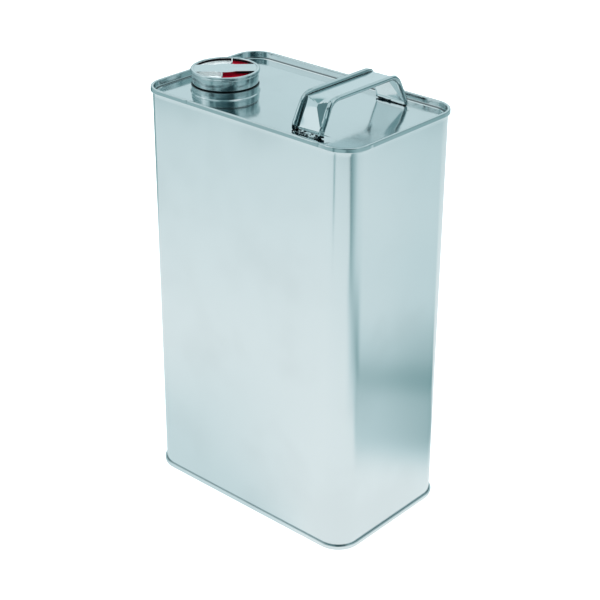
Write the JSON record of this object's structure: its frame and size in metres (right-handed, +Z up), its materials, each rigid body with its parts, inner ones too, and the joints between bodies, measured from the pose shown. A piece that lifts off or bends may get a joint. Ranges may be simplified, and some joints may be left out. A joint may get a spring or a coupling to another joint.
{
  "type": "rectangular tin can",
  "caption": "Oblong tinplate can with double-seamed ends, a carrying strap across the top and a screw cap on a clinched neck.",
  "frame": {"origin": "middle of the footprint, on the surface that the bottom seam stands on", "axes": "+Z up, X along the broad side with the handle towards +X and the neck towards -X, front broad face towards -Y"},
  "size_m": [0.172, 0.1056, 0.2945],
  "materials": {
    "tinplate": "gloss",
    "handle_metal": "polished",
    "cap_metal": "polished",
    "seam_compound": "matte",
    "cap_liner": "matte"
  },
  "bodies": {
    "tin": {"body_wall": "tinplate", "top_end": "tinplate", "bottom_end": "tinplate", "top_seam_compound": "seam_compound", "bottom_seam_compound": "seam_compound", "filler_neck": "cap_metal", "neck_gasket": "seam_compound", "carry_handle": "handle_metal"},
    "seal": {"cap_liner": "cap_liner"},
    "cap": {"screw_cap": "cap_metal"}
  },
  "joints": [
    {"name": "cap_lift", "type": "slide", "parent": "tin", "child": "seal", "axis": [0, 0, 1], "range_m": [0, 0.009]},
    {"name": "cap_turn", "type": "hinge", "parent": "seal", "child": "cap", "pos_m": [-0.0488, -0.0137, 0.272], "axis": [0, 0, 1], "range_deg": [0, 1350]}
  ],
  "couplings": [
    {"joint": "cap_lift", "follows": "cap_turn", "m_per_rad": 0.00038197}
  ]
}
